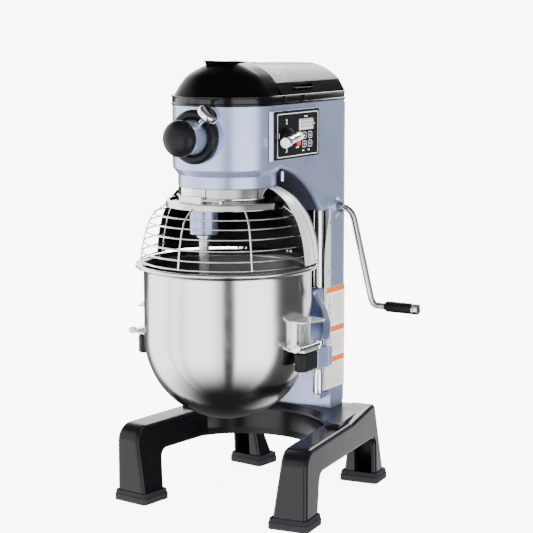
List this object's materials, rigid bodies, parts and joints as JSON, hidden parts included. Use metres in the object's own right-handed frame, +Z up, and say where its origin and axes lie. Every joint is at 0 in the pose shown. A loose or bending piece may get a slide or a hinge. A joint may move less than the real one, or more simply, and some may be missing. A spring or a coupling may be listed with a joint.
{
  "type": "commercial stand mixer",
  "caption": "Planetary stand mixer with crank-lifted bowl, swing-away wire guard, flat beater, attachment hub and side controls on a four-legged cast base.",
  "frame": {"origin": "centre of the bottom of the bounding box, on the floor", "axes": "+Z up, -Y towards the bowl and operator, +X towards the crank and controls"},
  "size_m": [0.511, 0.5282, 0.8632],
  "materials": {
    "body_paint": "metallic satin",
    "base_black": "gloss powder coat",
    "foot_rubber": "matt",
    "cover_black": "semi-gloss",
    "black_plastic": "satin",
    "stainless": "polished",
    "chrome": "mirror",
    "machined_steel": "machined",
    "cast_aluminium": "cast satin",
    "bronze": "machined",
    "panel_black": "satin film",
    "display": "satin",
    "stop_red": "satin",
    "label": "printed film",
    "copper": "wound wire"
  },
  "bodies": {
    "frame": {"base_casting": "base_black", "foot_front_right": "foot_rubber", "foot_front_left": "foot_rubber", "foot_rear_right": "foot_rubber", "foot_rear_left": "foot_rubber", "main_housing": "body_paint", "rear_cover": "body_paint", "top_cover": "cover_black", "cover_screw_right_1": "black_plastic", "cover_screw_right_2": "black_plastic", "cover_screw_left_1": "black_plastic", "cover_screw_left_2": "black_plastic", "guide_rod_right": "chrome", "slideway_strip_right": "stainless", "guide_rod_left": "chrome", "slideway_strip_left": "stainless", "control_bezel": "body_paint", "control_panel": "panel_black", "display_window": "display", "instruction_plate": "label", "hub_ring": "black_plastic", "hub_barrel": "body_paint", "hub_bushing": "bronze", "guard_ring": "stainless", "rear_guard": "stainless", "ring_gear": "machined_steel", "main_bearing": "machined_steel", "motor_stator": "copper", "cord_gland": "black_plastic"},
    "lift": {"bowl_yoke": "body_paint", "lift_nut": "bronze", "clamp_block_right": "black_plastic", "clamp_block_left": "black_plastic", "mixing_bowl": "stainless", "bowl_bracket_right": "stainless", "bowl_bracket_left": "stainless"},
    "clamp_right": {"clamp_lever_right": "chrome"},
    "clamp_left": {"clamp_lever_left": "chrome"},
    "planetary": {"planetary_carrier": "body_paint", "main_shaft": "machined_steel"},
    "agitator": {"agitator_shaft": "chrome", "flat_beater": "cast_aluminium"},
    "counter": {"countershaft": "machined_steel"},
    "motor": {"motor_rotor": "machined_steel"},
    "hub_drive": {"hub_shaft": "machined_steel"},
    "hub_plug": {"hub_cap": "black_plastic"},
    "hub_screw": {"hub_thumb_screw": "chrome"},
    "guard": {"wire_guard": "chrome"},
    "crank": {"crank_shaft": "machined_steel", "crank_arm": "chrome"},
    "grip": {"crank_grip": "black_plastic"},
    "screw": {"lift_screw": "machined_steel"},
    "selector": {"speed_selector": "chrome"},
    "timer_up": {"timer_up_key": "panel_black"},
    "timer_down": {"timer_down_key": "panel_black"},
    "start": {"start_key": "panel_black"},
    "mode": {"mode_key": "panel_black"},
    "stop": {"stop_button": "stop_red"}
  },
  "joints": [
    {"name": "bowl_lift", "type": "slide", "parent": "frame", "child": "lift", "axis": [0, 0, 1], "range_m": [-0.096, 0]},
    {"name": "crank_turn", "type": "hinge", "parent": "frame", "child": "crank", "pos_m": [-0.03445, 0.15341, 0.571], "axis": [1, 0, 0], "range_deg": [-2160, 0]},
    {"name": "lift_screw_turn", "type": "hinge", "parent": "frame", "child": "screw", "pos_m": [-0.03445, 0.15341, 0.4], "axis": [0, 0, 1], "range_deg": [-2160, 0]},
    {"name": "grip_spin", "type": "hinge", "parent": "crank", "child": "grip", "pos_m": [0.21754, 0.15341, 0.38], "axis": [1, 0, 0], "continuous": true},
    {"name": "clamp_right_turn", "type": "hinge", "parent": "lift", "child": "clamp_right", "pos_m": [0.14655, -0.05059, 0.33], "axis": [0, 0, 1], "range_deg": [0, 100]},
    {"name": "clamp_left_turn", "type": "hinge", "parent": "lift", "child": "clamp_left", "pos_m": [-0.21546, -0.05059, 0.33], "axis": [0, 0, 1], "range_deg": [-100, 0]},
    {"name": "guard_swing", "type": "hinge", "parent": "frame", "child": "guard", "pos_m": [-0.03445, -0.08259, 0.597], "axis": [0, 0, 1], "range_deg": [0, 150]},
    {"name": "planetary_spin", "type": "hinge", "parent": "frame", "child": "planetary", "pos_m": [-0.03445, -0.08259, 0.62], "axis": [0, 0, 1], "continuous": true},
    {"name": "agitator_spin", "type": "hinge", "parent": "planetary", "child": "agitator", "pos_m": [-0.07469, -0.10274, 0.6], "axis": [0, 0, 1], "continuous": true},
    {"name": "countershaft_spin", "type": "hinge", "parent": "frame", "child": "counter", "pos_m": [-0.03445, 0.01241, 0.69], "axis": [0, 0, 1], "continuous": true},
    {"name": "motor_spin", "type": "hinge", "parent": "frame", "child": "motor", "pos_m": [-0.03445, 0.09241, 0.75], "axis": [0, 0, 1], "continuous": true},
    {"name": "hub_drive_spin", "type": "hinge", "parent": "frame", "child": "hub_drive", "pos_m": [-0.03445, -0.14259, 0.7265], "axis": [0, 1, 0], "continuous": true},
    {"name": "hub_cap_pull", "type": "slide", "parent": "frame", "child": "hub_plug", "axis": [0, -1, 0], "range_m": [0, 0.03]},
    {"name": "hub_screw_turn", "type": "hinge", "parent": "frame", "child": "hub_screw", "pos_m": [-0.03445, -0.21259, 0.7265], "axis": [0.6947, 0, 0.7193], "range_deg": [-720, 0]},
    {"name": "speed_select", "type": "hinge", "parent": "frame", "child": "selector", "pos_m": [0.07755, -0.05079, 0.7215], "axis": [1, 0, 0], "range_deg": [-90, 30]},
    {"name": "timer_up_press", "type": "slide", "parent": "frame", "child": "timer_up", "axis": [-1, 0, 0], "range_m": [0, 0.001], "stiffness_N_per_m": 900},
    {"name": "timer_down_press", "type": "slide", "parent": "frame", "child": "timer_down", "axis": [-1, 0, 0], "range_m": [0, 0.001], "stiffness_N_per_m": 900},
    {"name": "start_press", "type": "slide", "parent": "frame", "child": "start", "axis": [-1, 0, 0], "range_m": [0, 0.001], "stiffness_N_per_m": 900},
    {"name": "mode_press", "type": "slide", "parent": "frame", "child": "mode", "axis": [-1, 0, 0], "range_m": [0, 0.001], "stiffness_N_per_m": 900},
    {"name": "stop_press", "type": "slide", "parent": "frame", "child": "stop", "axis": [-1, 0, 0], "range_m": [0, 0.001], "stiffness_N_per_m": 900}
  ],
  "couplings": [
    {"joint": "crank_turn", "follows": "bowl_lift", "rad_per_m": 392.7},
    {"joint": "lift_screw_turn", "follows": "bowl_lift", "rad_per_m": 392.7},
    {"joint": "agitator_spin", "follows": "planetary_spin", "ratio": -2.6667},
    {"joint": "countershaft_spin", "follows": "planetary_spin", "ratio": -2.8},
    {"joint": "motor_spin", "follows": "planetary_spin", "ratio": 8.4},
    {"joint": "hub_drive_spin", "follows": "planetary_spin", "ratio": -1}
  ]
}
